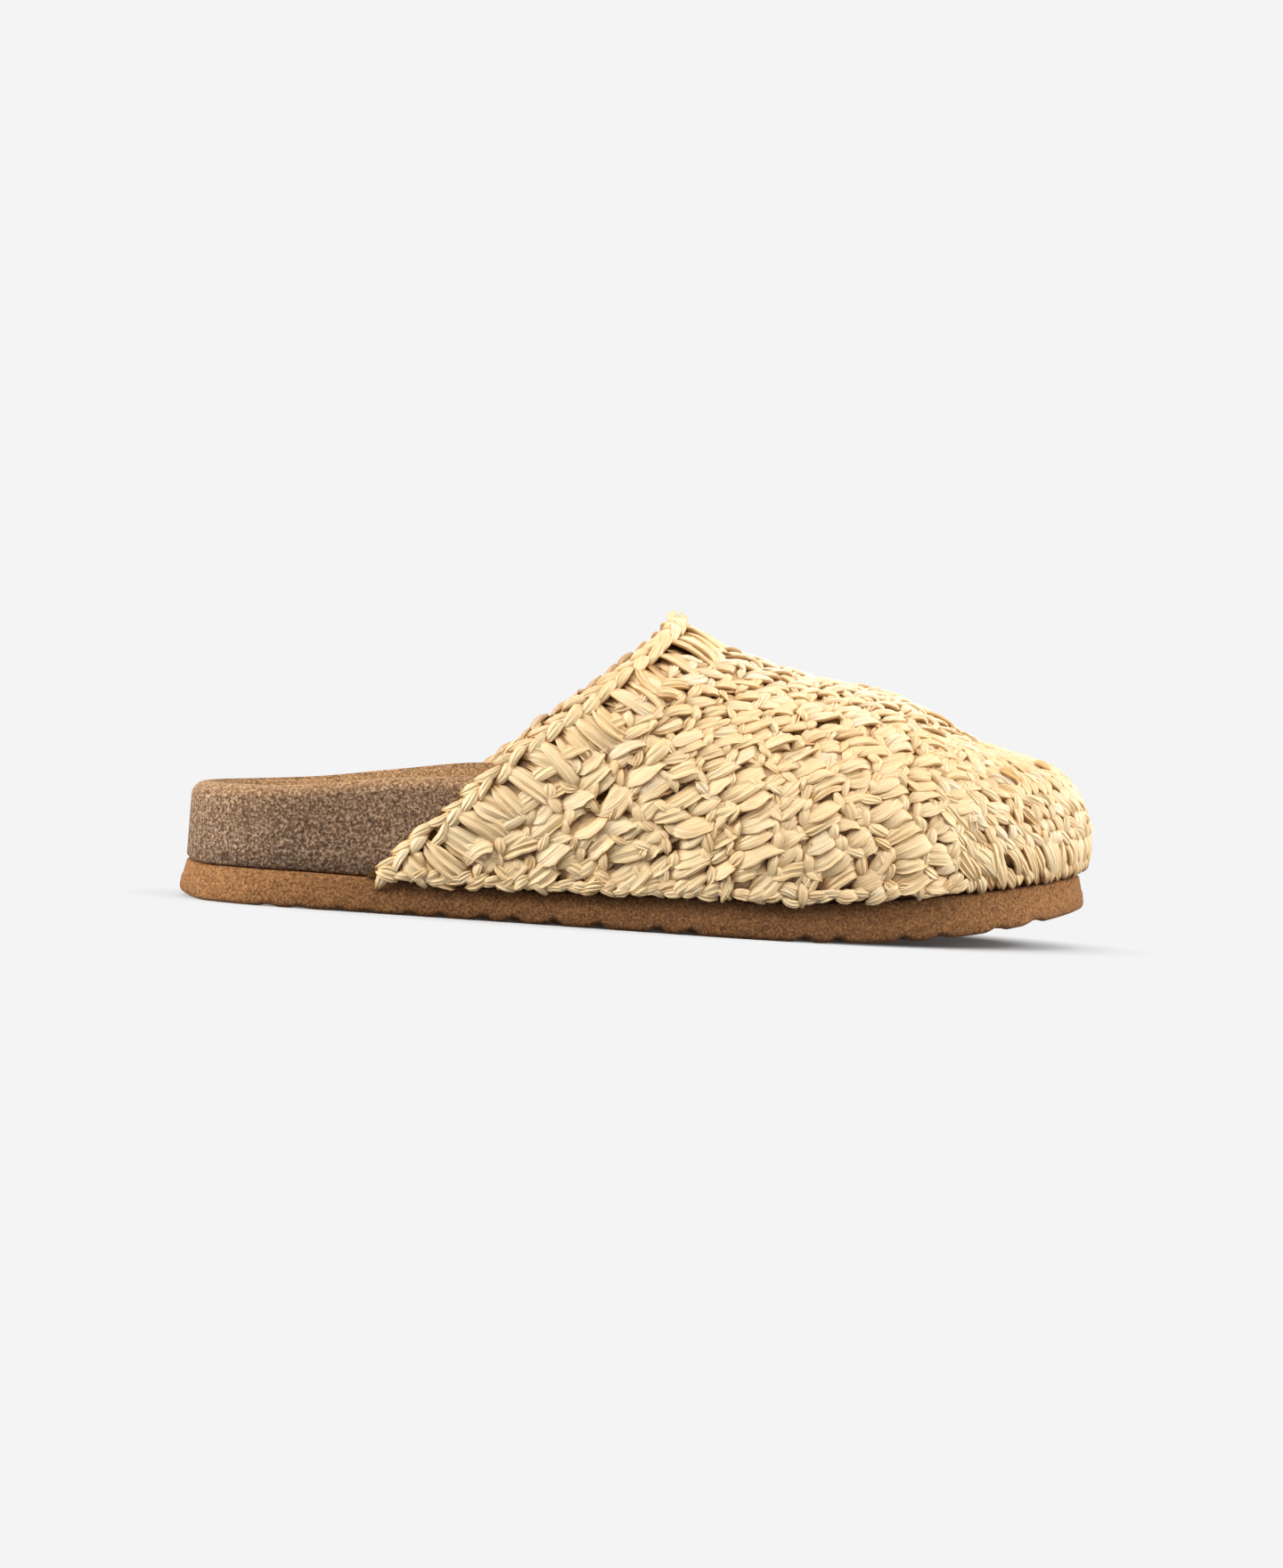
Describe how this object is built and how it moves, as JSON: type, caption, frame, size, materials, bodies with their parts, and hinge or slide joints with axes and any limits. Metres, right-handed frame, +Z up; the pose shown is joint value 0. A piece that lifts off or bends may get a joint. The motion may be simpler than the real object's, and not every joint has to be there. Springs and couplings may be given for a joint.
{
  "type": "woven slide sandal",
  "caption": "Closed-toe slide shoe with a crocheted raffia upper, a cork footbed with a raised heel rim and a lugged foam outsole.",
  "frame": {"origin": "middle of the shoe's box, on the floor that it stands on", "axes": "+X from heel to toe, +Y towards the inner side of the foot, +Z up"},
  "size_m": [0.2602, 0.1, 0.0886],
  "materials": {
    "foam": "matte fine-grained tan foam",
    "cork": "matte speckled cork",
    "suede": "napped suede",
    "raffia": "natural straw with a soft sheen"
  },
  "bodies": {
    "root": {"outsole": "foam", "footbed": "cork", "insole": "suede", "upper": "raffia"}
  },
  "joints": []
}
